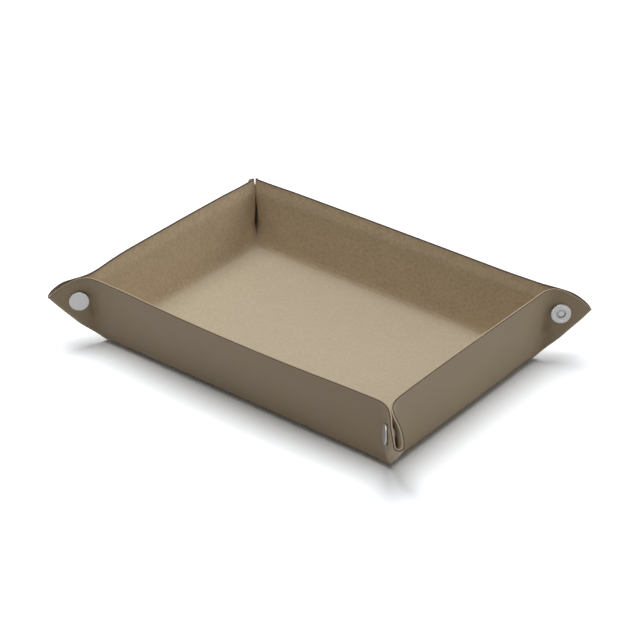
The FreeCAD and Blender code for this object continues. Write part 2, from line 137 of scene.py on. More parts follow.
class TraySheetSettings(bpy.types.PropertyGroup):
    """Sizes of the folded sheet."""

    leather_thickness: length("Leather", "Thickness of the leather", GLUE_HEIGHT)
    lining_thickness: length("Lining", "Thickness of the suede lining",
                             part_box("lining_base")[1].z - GLUE_HEIGHT)
    edge_ease: length("Edge ease", "Rounding of the cut edges", 0.12 * MM)
    floor_bend: length("Floor bend", "Reach of the bend between floor and walls", 12 * MM)
    fold_bend: length("Fold bend", "Reach of the bend along the folded edge of an ear", 1.2 * MM)
    rim_spread: length("Rim spread", "How much further the corner bends reach at the rim", 11 * MM)
    pinch: length("Pinch", "Half the distance between the glue planes where a corner is pinched", 0.8 * MM)
    slack: length("Slack", "What the back left corner adds to the pinch", 0.75 * MM)
    belly: length("Belly", "What that corner adds further down", 1.4 * MM)
    droop: angle("Droop", "Slope by which that corner's ear hangs lower", 7)
    ear_gap: length("Ear gap", "Half the distance between the glue planes of an ear's halves", 2.5 * MM)
    bow_front: length("Front bow", "How far the middle of the front rim stands out", 4.9 * MM)
    bow_back: length("Back bow", "How far the middle of the back rim stands out", 0.6 * MM)
    bow_right: length("Right bow", "How far the middle of the right rim stands out", -3.3 * MM)
    bow_left: length("Left bow", "How far the middle of the left rim stands out", 0.7 * MM)
    shift_front_right: place("Front right", "How far that rim stands out to the right, to the front and up",
                             (-1.6 * MM, 1.6 * MM, 0))
    shift_front_left: place("Front left", "How far that rim stands out to the left, to the front and up",
                            (-1.6 * MM, 1.6 * MM, -0.6 * MM))
    shift_back_right: place("Back right", "How far that rim stands out to the right, to the back and up",
                            (-1.2 * MM, 0, 1.2 * MM))
    shift_back_left: place("Back left", "How far that rim stands out to the left, to the back and up",
                           (0, 0, -0.6 * MM))


class TraySnapSettings(bpy.types.PropertyGroup):
    """Sizes of the snaps' outer pieces."""

    cap_diameter: length("Cap", "Diameter of the snap caps", 11.6 * MM)
    cap_height: length("Cap height", "Height of a cap over the leather", 1.2 * MM)
    cap_crown: length("Cap crown", "How much a cap's face rises to its middle", 0.12 * MM)
    eyelet_diameter: length("Eyelet", "Diameter of the eyelets", 11.6 * MM)
    eyelet_height: length("Eyelet height", "Height of an eyelet's flange over the leather", 1.0 * MM)
    eyelet_hollow: length("Eyelet hollow", "Diameter of the hollow in an eyelet", 5 * MM)
    edge_round: length("Edge round", "Rounding of the flanges' edges", 0.4 * MM)


class TrayFinishSettings(bpy.types.PropertyGroup):
    """Colours of the tray's finishes."""

    leather: colour("Leather", "Smooth taupe leather", (0.277, 0.211, 0.132))
    # Also the colour of the shade line painted on the suede along the back and left rims.
    leather_edge_and_shade_line: colour("Leather edge", "Cut edge of the leather", (0.062, 0.042, 0.024))
    lining: colour("Lining", "Khaki suede of the floor", (0.427, 0.358, 0.256))
    # The walls' suede: a more saturated tone, painted bounce light for the warm light that the floor throws onto
    # the walls.
    lining_walls_painted_bounce: colour("Brushed lining", "The walls' suede, whose nap lies down", (0.462, 0.362, 0.238))
    lining_edge: colour("Lining edge", "Cut edge of the suede", (0.4, 0.325, 0.225))
    snap_metal: colour("Snap metal", "Satin nickel", (0.31, 0.302, 0.297))
    snap_spring: colour("Snap spring", "Brass wire", COLOURS["snap_spring"])


class TrayStageSettings(bpy.types.PropertyGroup):
    """Floor, light and camera."""

    floor_size: length("Floor", "Side of the floor", 8.0)
    floor_colour: colour("Floor colour", "Pale floor, as it lights the tray", (0.8, 0.8, 0.8))
    floor_white: strength("Floor white", "Floor's strength in the picture", 1.38)
    sky: strength("Sky", "Strength of the light from all round", 0.125)
    lamp_power: power("Lamp", "Power of the lamp overhead", 15.0)
    lamp_size: place("Lamp size", "Sides of the lamp overhead", (1.0, 1.0))
    lamp_place: place("Lamp place", "Where the lamp overhead hangs", (-0.16, 0.06, 1.2))
    left_power: power("Left", "Power of the left side light", 0.4)
    right_power: power("Right", "Power of the right side light", 5.4)
    side_size: place("Side size", "Sides of the side lights", (0.8, 0.8))
    side_place: place("Side place", "Where the right side light stands, opposite to the left one",
                      (0.85, 0.85, 0.6))
    azimuth: angle("Azimuth", "Camera's direction round the tray, from the front", 38.42)
    elevation: angle("Elevation", "Camera's height over the horizon", 31.05)
    distance: length("Distance", "Camera's distance from the point it looks at", 1.27016)
    aim_across: length("Aim across", "Point looked at, to the right of the tray's middle", 0.92 * MM)
    aim_up: length("Aim up", "Point looked at, over the tray's middle in the picture", 17.24 * MM)
    lens: FloatProperty(name="Lens", description="Focal length in millimetres", default=124.499,
                        unit="CAMERA")


SETTINGS = {
    "tray_sheet": TraySheetSettings,
    "tray_snaps": TraySnapSettings,
    "tray_finish": TrayFinishSettings,
    "tray_stage": TrayStageSettings,
}


def ease(x):
    """Smooth step: 0 up to 0, 1 from 1 on, and 3x^2 - 2x^3 between."""
    x = np.clip(x, 0, 1)
    return x * x * (3 - 2 * x)


def of_wall(values, x, y, on_long):
    """A wall's own value at each point."""
    return np.where(on_long, np.where(y < 0, values["front"], values["back"]),
                    np.where(x > 0, values["right"], values["left"]))


class FoldedSheet:
    """The glue surface between leather and lining, as a function of the flat pattern's X and Y.

    The pattern is the base rectangle with walls of the slant height all round, and quarter discs at its
    corners. crease() folds it sharply along the floor lines, the corner lines and the diagonals. surface()
    then averages crease() over a small disc round each point, with the weight (1 - r^2)^2, which bends every
    fold."""

    PINCH_LOW = 14 * MM      # height up to which the pinch grows
    PINCH_WIDE = 17 * MM     # distance along a wall over which the pinch fades
    CONE = 18 * MM           # distance from the base corner at which an ear has its whole gap
    OPENING = 4.5 * MM       # distance from the corner line over which an ear opens
    RIM_OPENING = 14 * MM    # and what the rim adds to that
    RIM_LATE = 5 * MM        # how much later that begins than the corner bends spread
    RIM_FROM, RIM_BAND = 25 * MM, 20 * MM      # where the corner bends begin to spread, and over what width
    CORNER_SPREAD = 0.16     # growth of the corner bends' reach with the distance from the base corner
    FOLD_SPREAD = 0.8        # growth of any bend's reach with the distance from the folded edge
    SHARP = 0.4              # share of the corner bends' reach that the back left corner has
    TAKE_UP = 0.89           # share of an ear's flat width that is left once its fold has taken its part
    PINCH_SHARE = 0.115      # how far a corner bend draws apart what it rounds, as a share of its reach
    BELLY_TOP = 24 * MM      # height over which the back left corner's belly closes again
    BOW_POWER = 1.4          # power of the height with which bows and shifts grow
    BOW_SHAPE = {"front": 2, "back": 2, "right": 5, "left": 2}   # power of the distance from a wall's middle
    SHIFT_WALL, SHIFT_EAR = 32 * MM, 25 * MM   # how far a corner's shift fades along walls and ears
    SHIFT_TOP = 1.2          # share of the slant up to which it grows, as the discs reach past the rim
    BASE_ROUND, BASE_REACH = 6 * MM, 22 * MM   # rounding of the base corners
    STEP = 0.1 * MM          # half step of the slopes
    RINGS, SPOKES = 4, 12    # points of the averaging disc

    def __init__(self, settings):
        self.floor_bend, self.fold_bend = settings.floor_bend, settings.fold_bend
        self.rim_spread, self.gap = settings.rim_spread, settings.ear_gap
        self.pinch, self.slack, self.belly = settings.pinch, settings.slack, settings.belly
        self.droop = math.tan(settings.droop)
        # In the order of 2 (x < 0) + (y < 0).
        self.shifts = np.stack([getattr(settings, "shift_" + corner)
                                for corner in ("back_right", "front_right", "back_left", "front_left")])
        self.bows = {side: getattr(settings, "bow_" + side) for side in WALLS}
        rings = (np.arange(self.RINGS) + 0.5) / self.RINGS
        stagger = 0.5 * (np.arange(self.RINGS) % 2)
        turns = 2 * np.pi * (np.arange(self.SPOKES)[None, :] + stagger[:, None]) / self.SPOKES
        disc = rings[:, None, None] * np.stack([np.cos(turns), np.sin(turns)], -1)
        self.disc = disc.reshape(-1, 2)
        weights = np.repeat(rings * (1 - rings**2) ** 2, self.SPOKES)
        self.weights = weights / weights.sum()

    def corner_bend(self, rho, back_left):
        """Reach of the corner bends: a share of the distance from the base corner, and more near the rim."""
        bend = self.CORNER_SPREAD * rho + self.rim_spread * ease((rho - self.RIM_FROM) / self.RIM_BAND)
        return np.where(back_left, self.SHARP, 1) * bend

    def rim_bow(self, x, y, up, along, on_long):
        """How far a wall stands out: its bow times 1 - s^n, where s goes from 0 at the wall's middle to 1 at
        its end and n is the wall's own power, and times a power of the height."""
        half = np.where(on_long, HALF_LENGTH, HALF_WIDTH)
        middle = 1 - np.clip(1 + along / half, 0, 1) ** of_wall(self.BOW_SHAPE, x, y, on_long)
        return of_wall(self.bows, x, y, on_long) * middle * np.clip(up / SLANT, 0, 1) ** self.BOW_POWER

    def half_gap(self, up, rho, turn, back_left):
        """Half the gap between a corner's two sides. On a wall it is the pinch, which fades along the wall.
        On an ear it grows from the pinch at the corner line to the whole gap, and closes as the quarter of
        an ellipse at the diagonal."""
        beside = rho * np.sin(turn)
        slack = self.slack + self.belly * (1 - ease((up - self.PINCH_LOW) / self.BELLY_TOP))
        drawn = self.PINCH_SHARE * self.corner_bend(rho, back_left)
        pinch = (self.pinch + np.where(back_left, slack, 0) - drawn) * ease(up / self.PINCH_LOW)
        whole = self.gap * np.minimum(1, rho / self.CONE)
        late = ease((rho - self.RIM_FROM - self.RIM_LATE) / self.RIM_BAND)
        gap = pinch + (whole - pinch) * ease(beside / (self.OPENING + self.RIM_OPENING * late))
        to_fold = rho * np.sin(np.maximum(DIAGONAL - FAN - turn, 0))
        gap = gap * np.sqrt(1 - (1 - np.minimum(to_fold / np.maximum(whole, TINY), 1)) ** 2)
        return np.where(turn > 0, gap, pinch * (1 - ease(-beside / self.PINCH_WIDE)))

    def corner_shift(self, x, y, rho, beside):
        """A corner's shift of its rim, which fades along its walls, its ear and down to the base corner."""
        near = 1 - ease(np.where(beside > 0, beside / self.SHIFT_EAR, -beside / self.SHIFT_WALL))
        near = near * np.clip(rho / SLANT, 0, self.SHIFT_TOP) ** self.BOW_POWER
        return near[..., None] * self.shifts[2 * (x < 0) + (y < 0)]

    def crease(self, x, y):
        """Sharp fold. Floor points stay. A wall leans by LEAN about its floor line and bows out. An ear's
        half lies beside the diagonal's upright plane at half the gap. Each corner is then shifted, and the
        back left ear hangs a little."""
        u, v = np.abs(x) - HALF_LENGTH, np.abs(y) - HALF_WIDTH
        on_long = v >= u
        up, along = np.maximum(u, v), np.minimum(u, v)
        rho = np.hypot(up, along)
        turn = np.arctan2(along, np.maximum(up, TINY)) - FAN     # angle from the corner line
        beside = rho * np.sin(turn)                              # distance from the corner line
        ear, flat = turn > 0, up <= 0
        back_left = (x < 0) & (y > 0)
        apart = self.half_gap(up, rho, turn, back_left) * ROOT_HALF
        rise, out = rho * np.cos(turn), beside * self.TAKE_UP
        spread = (rise * math.sin(TILT) + out * math.cos(TILT)) * ROOT_HALF
        lean = up * math.sin(LEAN) + self.rim_bow(x, y, up, along, on_long)
        sideways = np.where(ear, spread, along) - apart
        outwards = np.where(ear, spread, lean) + apart
        hang = np.where(back_left, out * self.droop, 0)
        height = np.where(ear, rise * math.cos(TILT) - out * math.sin(TILT) - hang, up * math.cos(LEAN))
        shift = self.corner_shift(x, y, rho, beside)
        px = np.where(flat, u, np.where(on_long, sideways, outwards) + shift[..., 0]) + HALF_LENGTH
        py = np.where(flat, v, np.where(on_long, outwards, sideways) + shift[..., 1]) + HALF_WIDTH
        pz = np.where(flat, 0, height + shift[..., 2]) + GLUE_HEIGHT
        return np.stack([np.copysign(px, x), np.copysign(py, y), pz], -1)

    def reach(self, x, y):
        """Radius of the averaging disc: the corner bend's or, low on the walls, the floor bend's, whichever
        is more, but little near the folded edge of an ear. The base corners are rounded by a little more."""
        u, v = np.abs(x) - HALF_LENGTH, np.abs(y) - HALF_WIDTH
        up, rho = np.maximum(u, v), np.hypot(u, v)
        to_fold = np.where(u + v > 0, np.abs(u - v) * ROOT_HALF, rho)
        floor = self.floor_bend * (1 - ease(up / self.floor_bend - 1))
        bend = np.maximum(floor, np.minimum(self.corner_bend(rho, (x < 0) & (y > 0)), up))
        fold = self.fold_bend + self.BASE_ROUND * (1 - ease(rho / self.BASE_REACH))
        return np.minimum(bend, fold + self.FOLD_SPREAD * to_fold)

    def surface(self, x, y):
        """Weighted mean of crease() over the disc round each point."""
        reach = self.reach(x, y)
        return sum(weight * self.crease(x + reach * dx, y + reach * dy)
                   for weight, (dx, dy) in zip(self.weights, self.disc))

    def patch(self, x, y):
        """Points of the surface and its normals on the leather's side, from central differences."""
        across = self.surface(x + self.STEP, y) - self.surface(x - self.STEP, y)
        along = self.surface(x, y + self.STEP) - self.surface(x, y - self.STEP)
        normal = np.cross(along, across)
        return self.surface(x, y), normal / np.linalg.norm(normal, axis=-1, keepdims=True)


SHARP_FROM = math.radians(42)      # angle between faces from which an edge shows as sharp
WELD = 1e-6                        # points this near to each other are one


def new_piece(name, points, faces, slot, attributes=None, weld=False):
    """A closed mesh piece at the origin: outward faces, smooth shading with sharp edges, and its finish."""
    mesh = bpy.data.meshes.new(name)
    mesh.from_pydata(points.tolist(), [], faces.tolist())
    for key, values in (attributes or {}).items():
        kind, field = ("FLOAT", "value") if values.ndim == 1 else ("FLOAT_VECTOR", "vector")
        mesh.attributes.new(key, kind, "POINT").data.foreach_set(field, values.astype(np.float32).ravel())
    shell = bmesh.new()
    shell.from_mesh(mesh)
    if weld:
        bmesh.ops.remove_doubles(shell, verts=shell.verts, dist=WELD)
    bmesh.ops.recalc_face_normals(shell, faces=shell.faces)
    shell.to_mesh(mesh)
    shell.free()
    mesh.polygons.foreach_set("use_smooth", np.ones(len(mesh.polygons), bool))
    mesh.set_sharp_from_angle(angle=SHARP_FROM)
    mesh.materials.append(finish(slot))
    piece = bpy.data.objects.new(name, mesh)
    bpy.context.scene.collection.objects.link(piece)
    return piece


def quads(rows, columns, closed):
    """Index quads of a grid of points, row after row; a closed grid joins its last row to its first."""
    row = np.arange(rows if closed else rows - 1)[:, None]
    column = np.arange(columns - 1)[None, :]
    after = (row + 1) % rows
    corners = [row * columns + column, after * columns + column,
               after * columns + column + 1, row * columns + column + 1]
    return np.stack(corners, -1).reshape(-1, 4)


NAP_AND_BOUNCE_FROM, NAP_AND_BOUNCE_BAND = -3 * MM, 10 * MM       # where the floor's suede turns into the walls', with their nap and their tone of painted bounce light
SKIVE = {"leather": 0.35, "lining": 0.55}   # shares by which the layers thin out towards the rim
SKIVE_BAND = 9 * MM                         # and over what width
SHADE_LINE, SHADE_LINE_FADE = 0.3 * MM, 0.1 * MM      # width of the dark line of painted shade on the suede along the rim, and of its blurred end
SHADE_LINED_WALLS = ("back", "left")                  # walls whose suede has that painted shade line
EDGE_ROWS, EDGE_SHARE = 4, 0.7              # rows of an eased edge, and the share of it that shows the cut


def brushed(pattern):
    """How far a point is on the walls' suede, for their nap and their tone of painted bounce light: 0 on the
    floor, rising to 1 over a band along the floor lines.
    """
    beyond = np.maximum(np.abs(pattern[0]) - HALF_LENGTH, np.abs(pattern[1]) - HALF_WIDTH)
    return ease((beyond - NAP_AND_BOUNCE_FROM) / NAP_AND_BOUNCE_BAND)


def slab(name, slot, patch, pattern, depth, masks):
    """One layer of the sheet over a patch: rows of points out to the rim at the layer's depth, and back
    along the glue surface, closed at both ends. depth has one value for each row, so the rim's edge can be
    eased. Each mask has one value for each row or each point, and becomes an attribute."""
    points, normals = patch
    rows, columns = points.shape[:2]
    loop = np.concatenate([points + normals * depth[:, None, None], points[::-1]])
    outer = np.stack([*pattern, np.broadcast_to(depth[:, None], (rows, columns))], -1)
    inner = np.stack([*pattern, np.zeros((rows, columns))], -1)
    attributes = {"flat": np.concatenate([outer, inner[::-1]]).reshape(-1, 3)}
    for key, mask in masks.items():
        mask = np.broadcast_to(mask.reshape(rows, -1), (rows, columns))
        attributes[key] = np.concatenate([mask, mask[::-1]]).ravel()
    row = np.arange(rows - 1)
    ends = np.stack([row, row + 1, 2 * rows - 2 - row, 2 * rows - 1 - row], -1) * columns
    faces = np.concatenate([quads(2 * rows, columns, True), ends, ends[:, ::-1] + columns - 1])
    return new_piece(name, loop.reshape(-1, 3), faces, slot, attributes)


def rim_rows(start, stations, settings):
    """Rows from start to the rim, the last ones round a quarter circle at the eased edge, and at each row the drop
    of that edge, how far the skiving has come, and the masks of the cut edge and of the painted shade line."""
    eased = settings.edge_ease
    arc = np.linspace(0, np.pi / 2, EDGE_ROWS)
    body = start + (SLANT - SHADE_LINE - SHADE_LINE_FADE - start) * stations
    rows = np.concatenate([body, [SLANT - SHADE_LINE], SLANT - eased + eased * np.sin(arc)])
    drop = np.concatenate([np.zeros(len(body) + 1), eased * (1 - np.cos(arc))])
    skived = ease((rows - SLANT + SKIVE_BAND) / SKIVE_BAND)
    rim = ease((rows - SLANT + eased) / (EDGE_SHARE * eased))
    paint = ease((rows - SLANT + SHADE_LINE + SHADE_LINE_FADE) / SHADE_LINE_FADE)
    return rows, (drop, skived, rim, paint)


def layers(stem, wall, patch, pattern, edge, settings):
    """The leather and the lining over one patch, each as deep as its thickness less the skiving and the drop of
    the eased edge. On the back and left walls the suede has a dark line of painted shade along the rim."""
    drop, skived, rim, paint = edge
    leather_depth = settings.leather_thickness * (1 - SKIVE["leather"] * skived) - drop
    lining_depth = settings.lining_thickness * (1 - SKIVE["lining"] * skived) - drop
    leather = slab(stem + "_leather", "leather", patch, pattern, leather_depth, {"rim": rim})
    # The suede's masks: its cut edge, the painted shade line on the back and left walls, and the walls' nap with
    # their painted bounce tone.
    nap = {"rim": rim, "paint": paint if wall in SHADE_LINED_WALLS else 0 * paint, "brushed": brushed(pattern)}
    lining = slab(stem + "_suede", "lining", patch, pattern, -lining_depth, nap)
    return leather, lining


def lathe(name, slot, profile, centre, axis, around=72):
    """A profile of radius and height turned about an axis: a point is the centre, plus the height along the
    axis, plus the radius in the turned direction."""
    side = np.array([-axis[1], axis[0], 0.0]) / math.hypot(axis[0], axis[1])
    third = np.cross(axis, side)
    turn = 2 * np.pi * np.arange(around + 1) / around
    ring = np.cos(turn)[:, None] * side + np.sin(turn)[:, None] * third
    radius, height = np.asarray(profile, float).T[:, :, None, None]
    points = np.asarray(centre) + height * axis + radius * ring
    return new_piece(name, points.reshape(-1, 3), quads(len(profile), around + 1, True), slot, weld=True)


class Value:
    """A socket of a material's nodes that takes part in arithmetic."""

    def __init__(self, recipe, socket):
        self.recipe, self.socket = recipe, socket

    def _math(self, operation, first, second):
        """A Math node for one operation on two values."""
        return self.recipe.node("ShaderNodeMath", {"operation": operation}, {0: first, 1: second})

    def __add__(self, other):
        return self._math("ADD", self, other)

    def __sub__(self, other):
        return self._math("SUBTRACT", self, other)

    def __rsub__(self, other):
        return self._math("SUBTRACT", other, self)

    def __mul__(self, other):
        return self._math("MULTIPLY", self, other)

    __radd__, __rmul__ = __add__, __mul__


class Recipe:
    """The nodes of a material or the world."""

    def __init__(self, owner):
        owner.use_nodes = True
        self.tree = owner.node_tree
        self.tree.nodes.clear()

    def node(self, kind, settings=None, sockets=None, output=0):
        """Adds a node, sets its settings, then the values or links of its sockets, and gives one output."""
        made = self.tree.nodes.new(kind)
        for key, value in (settings or {}).items():
            setattr(made, key, value)
        for key, value in (sockets or {}).items():
            if isinstance(value, Value):
                self.tree.links.new(value.socket, made.inputs[key])
            elif hasattr(value, "__len__") and len(made.inputs[key].default_value) > len(value):
                made.inputs[key].default_value = (*value, 1)
            else:
                made.inputs[key].default_value = value
        return Value(self, made.outputs[output]) if made.outputs else None

    def mix(self, factor, first, second, blend="MIX"):
        """Mixes two colours."""
        return self.node("ShaderNodeMix", {"data_type": "RGBA", "blend_type": blend},
                         {0: factor, 6: first, 7: second}, output=2)

    def toned(self, tint, tone):
        """A colour made lighter or darker by a number."""
        grey = self.node("ShaderNodeCombineColor", None, {"Red": tone, "Green": tone, "Blue": tone})
        return self.mix(1.0, tint, grey, "MULTIPLY")

    def noise(self, place, scale, detail=2.0, roughness=0.5):
        """Fractal noise from 0 to 1."""
        return self.node("ShaderNodeTexNoise", None,
                         {"Vector": place, "Scale": scale, "Detail": detail, "Roughness": roughness})

    def attribute(self, name, output):
        """A piece's own attribute, as a vector or a number."""
        return self.node("ShaderNodeAttribute", {"attribute_name": name}, output=output)

    def scaled(self, place, factors, turn=0.0):
        """Coordinates stretched by a factor along each axis, then turned about Z."""
        return self.node("ShaderNodeMapping", {"vector_type": "POINT"},
                         {"Vector": place, "Rotation": (0, 0, turn), "Scale": factors})

    def surface(self, bump, sockets):
        """A Principled surface with a bump of (height, strength, distance), joined to the output."""
        height, strength, distance = bump
        normal = self.node("ShaderNodeBump", None,
                           {"Height": height, "Strength": strength, "Distance": distance})
        shader = self.node("ShaderNodeBsdfPrincipled", None, {**sockets, "Normal": normal})
        self.node("ShaderNodeOutputMaterial", None, {"Surface": shader})


def leather_finish(recipe, colours):
    """Smooth leather: fine pebbled grain, soft clouds of tone, a low sheen, and a darker cut edge."""
    flat, rim = recipe.attribute("flat", "Vector"), recipe.attribute("rim", "Fac")
    clouds = recipe.noise(flat, 16, 3)
    fine = recipe.noise(flat, 420, 3, 0.6)
    pebbles = recipe.node("ShaderNodeTexVoronoi", {"feature": "SMOOTH_F1"},
                          {"Vector": flat, "Scale": 1300, "Smoothness": 0.6})
    pores = recipe.noise(flat, 3200, 2)
    tone = 0.86 + 0.2 * clouds + 0.08 * fine
    face = recipe.toned(colours.leather, tone)
    recipe.surface((pebbles * 0.7 + pores * 0.3, 0.16, 0.06 * MM), {
        "Base Color": recipe.mix(rim, face, colours.leather_edge_and_shade_line),
        "Roughness": 0.44 + 0.12 * fine + 0.06 * clouds + 0.35 * rim,
        "Specular IOR Level": 0.3,
    })


def lining_finish(recipe, colours):
    """Suede: a brushed nap in streaks and patches of tone, no gloss, a paler cut edge, and a dark line of painted
    shade along the rims of the back and left walls. The walls' suede has a more saturated tone of painted bounce
    light, which begins raggedly, as the mottle moves the line between the floor's suede and the walls'."""
    flat, rim = recipe.attribute("flat", "Vector"), recipe.attribute("rim", "Fac")
    patches = recipe.noise(flat, 70, 3)
    mottle = recipe.noise(flat, 520, 4, 0.7)
    streaks = recipe.noise(recipe.scaled(flat, (260, 1100, 600), 0.5), 1.0, 3, 0.6)
    nap = recipe.noise(flat, 2600, 2, 0.6)
    brushed = recipe.attribute("brushed", "Fac")
    fibres = 0.14 * patches + 0.7 * mottle + 0.24 * streaks + 0.16 * nap - 0.62
    tone = 1 + fibres * (0.55 + 0.45 * brushed)
    ragged = brushed + (mottle - 0.5) * brushed * (1 - brushed) * 9
    # Painted bounce light: the walls' suede takes the more saturated tone.
    suede = recipe.mix(ragged, colours.lining, colours.lining_walls_painted_bounce)
    cut = recipe.mix(rim, recipe.toned(suede, tone), colours.lining_edge)
    recipe.surface((nap * 0.5 + mottle * 0.3 + streaks * 0.2, 0.35, 0.12 * MM), {
        # Painted shade: a dark line along the back and left walls' rims, in the leather edge's colour.
        "Base Color": recipe.mix(recipe.attribute("paint", "Fac"), cut, colours.leather_edge_and_shade_line),
        "Roughness": 0.9 + 0.08 * mottle,
        "Specular IOR Level": 0.2,
        "Sheen Weight": 0.12,
        "Sheen Roughness": 0.6,
    })


RUBBED_NICKEL = (0.5, 0.48, 0.46)
TARNISHED_BRASS = (0.3, 0.22, 0.1)


def snap_metal_finish(recipe, colours):
    """Satin nickel plate: faint level lines and fingerprints in the gloss."""
    place = recipe.node("ShaderNodeTexCoord", output="Object")
    marks = recipe.noise(place, 420, 3)
    lines = recipe.noise(recipe.scaled(place, (900, 900, 2600)), 1.0, 2)
    recipe.surface((lines, 0.05, 0.02 * MM), {
        "Base Color": recipe.mix(marks * 0.25, colours.snap_metal, RUBBED_NICKEL),
        "Metallic": 1.0,
        "Roughness": 0.3 + 0.14 * marks + 0.05 * lines,
    })


def snap_spring_finish(recipe, colours):
    """Drawn brass wire, a little tarnished."""
    place = recipe.node("ShaderNodeTexCoord", output="Object")
    tarnish = recipe.noise(place, 900, 3)
    recipe.surface((tarnish, 0.04, 0.02 * MM), {
        "Base Color": recipe.mix(tarnish * 0.5, colours.snap_spring, TARNISHED_BRASS),
        "Metallic": 1.0,
        "Roughness": 0.26 + 0.2 * tarnish,
    })


FINISHES = {"leather": leather_finish, "lining": lining_finish, "snap_metal": snap_metal_finish,
            "snap_spring": snap_spring_finish}


def finish(slot):
    """The material of a slot, made the first time it is asked for."""
    name = "tray_" + slot
    if name not in bpy.data.materials:
        FINISHES[slot](Recipe(bpy.data.materials.new(name)), bpy.context.scene.tray_finish)
    return bpy.data.materials[name]


class TRAY_OT_stage(bpy.types.Operator):
    """Set the floor, the light and the camera"""

    bl_idname = "tray.stage"
    bl_label = "Stage"

    TINT = (0.97, 1, 1.03)     # takes out of the shadows what the tray's colour adds
    FLOOR_DROP = 0.05 * MM     # how far the floor lies under the tray
    FLOOR_POINTS = 5           # along each of its sides
    SENSOR = 36                # width in millimetres of the picture that the lens is for

    def execute(self, context):
        settings = context.scene.tray_stage
        context.scene.view_settings.view_transform = "Standard"
        floor = self.add_floor(settings)
        self.add_sky(context, settings)
        self.add_lamp("overhead_lamp", settings.lamp_power, settings.lamp_size, settings.lamp_place)
        x, y, z = settings.side_place
        for name, power, spot in (("left_light", settings.left_power, (-x, -y, z)),
                                  ("right_light", settings.right_power, (x, y, z))):
            self.keep_off(self.add_lamp(name, power, settings.side_size, spot), floor)
        self.add_camera(context, settings)
        return {"FINISHED"}

    def seen(self, recipe):
        """1 for rays that show the background: from the camera, or reflected or passed on from it."""
        seen, *others = [recipe.node("ShaderNodeLightPath", output=name)
                         for name in ("Is Camera Ray", "Is Glossy Ray", "Is Transmission Ray")]
        for other in others:
            seen = recipe.node("ShaderNodeMath", {"operation": "MAXIMUM"}, {0: seen, 1: other})
        return seen

    def add_floor(self, settings):
        """A square a hair under the tray, white in the picture where nothing shades it. Its white grows with
        the distance r as (1 + r^2 / h^2)^2, which makes up for how the light of a lamp at the height h falls
        off."""
        half = settings.floor_size / 2
        side = np.linspace(-half, half, self.FLOOR_POINTS)
        x, y = np.meshgrid(side, side, indexing="ij")
        points = np.stack([x, y, np.full_like(x, -self.FLOOR_DROP)], -1).reshape(-1, 3)
        mesh = bpy.data.meshes.new("studio_floor")
        mesh.from_pydata(points.tolist(), [], quads(len(side), len(side), False).tolist())
        material = bpy.data.materials.new("studio_floor")
        recipe = Recipe(material)
        place = recipe.node("ShaderNodeTexCoord", output="Object")
        away = recipe.node("ShaderNodeVectorMath", {"operation": "LENGTH"}, {0: place}, output="Value")
        falling = 1 + away * away * settings.lamp_place[2] ** -2
        strength = falling * falling * settings.floor_white
        white = recipe.node("ShaderNodeCombineColor", None, {
            part: strength * share for part, share in zip(("Red", "Green", "Blue"), self.TINT)})
        shade = recipe.node("ShaderNodeBsdfDiffuse", None, {
            "Color": recipe.mix(self.seen(recipe), settings.floor_colour, white)})
        recipe.node("ShaderNodeOutputMaterial", None, {"Surface": shade})
        mesh.materials.append(material)
        floor = bpy.data.objects.new("studio_floor", mesh)
        bpy.context.scene.collection.objects.link(floor)
        return floor

    def add_sky(self, context, settings):
        """An even light from all round."""
        world = bpy.data.worlds.new("studio_sky")
        context.scene.world = world
        recipe = Recipe(world)
        seen = self.seen(recipe)
        light = recipe.node("ShaderNodeBackground", None, {
            "Color": (1, 1, 1), "Strength": seen + (1 - seen) * settings.sky})
        recipe.node("ShaderNodeOutputWorld", None, {"Surface": light})

    def add_lamp(self, name, power, sides, spot):
        """A soft box that faces the tray."""
        light = bpy.data.lights.new(name, "AREA")
        light.shape, light.energy = "RECTANGLE", power
        light.size, light.size_y = sides
        lamp = bpy.data.objects.new(name, light)
        lamp.location = spot
        lamp.rotation_euler = Vector(spot).to_track_quat("Z", "Y").to_euler()
        bpy.context.scene.collection.objects.link(lamp)
        return lamp

    def keep_off(self, lamp, floor):
        """Shields the floor from a lamp, as a flag does in a studio."""
        shielded = bpy.data.collections.new(lamp.name + "_shield")
        shielded.objects.link(floor)
        shielded.collection_objects[0].light_linking.link_state = "EXCLUDE"
        lamp.light_linking.receiver_collection = shielded

    def add_camera(self, context, settings):
        """A long lens at the photograph's angle."""
        a, e = settings.azimuth, settings.elevation
        back = Vector((math.sin(a) * math.cos(e), -math.cos(a) * math.cos(e), math.sin(e)))
        right = Vector((math.cos(a), math.sin(a), 0))
        above = back.cross(right)
        camera = bpy.data.objects.new("camera", bpy.data.cameras.new("camera"))
        camera.data.lens, camera.data.sensor_width = settings.lens, self.SENSOR
        spot = settings.aim_across * right + settings.aim_up * above + settings.distance * back
        turned = Matrix((right, above, back)).transposed().to_4x4()
        camera.matrix_world = Matrix.Translation(spot) @ turned
        context.scene.collection.objects.link(camera)
        context.scene.camera = camera


SEAM = 12 * MM                    # how far from the floor lines the walls' panels begin
WALL_CUT = math.radians(14)       # angle from a wall's upright at which its panel gives way to the ears'
EVEN = 0.35                       # share of even spacing in rows or columns that gather somewhere


def gathered(even, dense):
    """Stations between even ones and ones that lie densely where the surface bends most."""
    return EVEN * even + (1 - EVEN) * dense


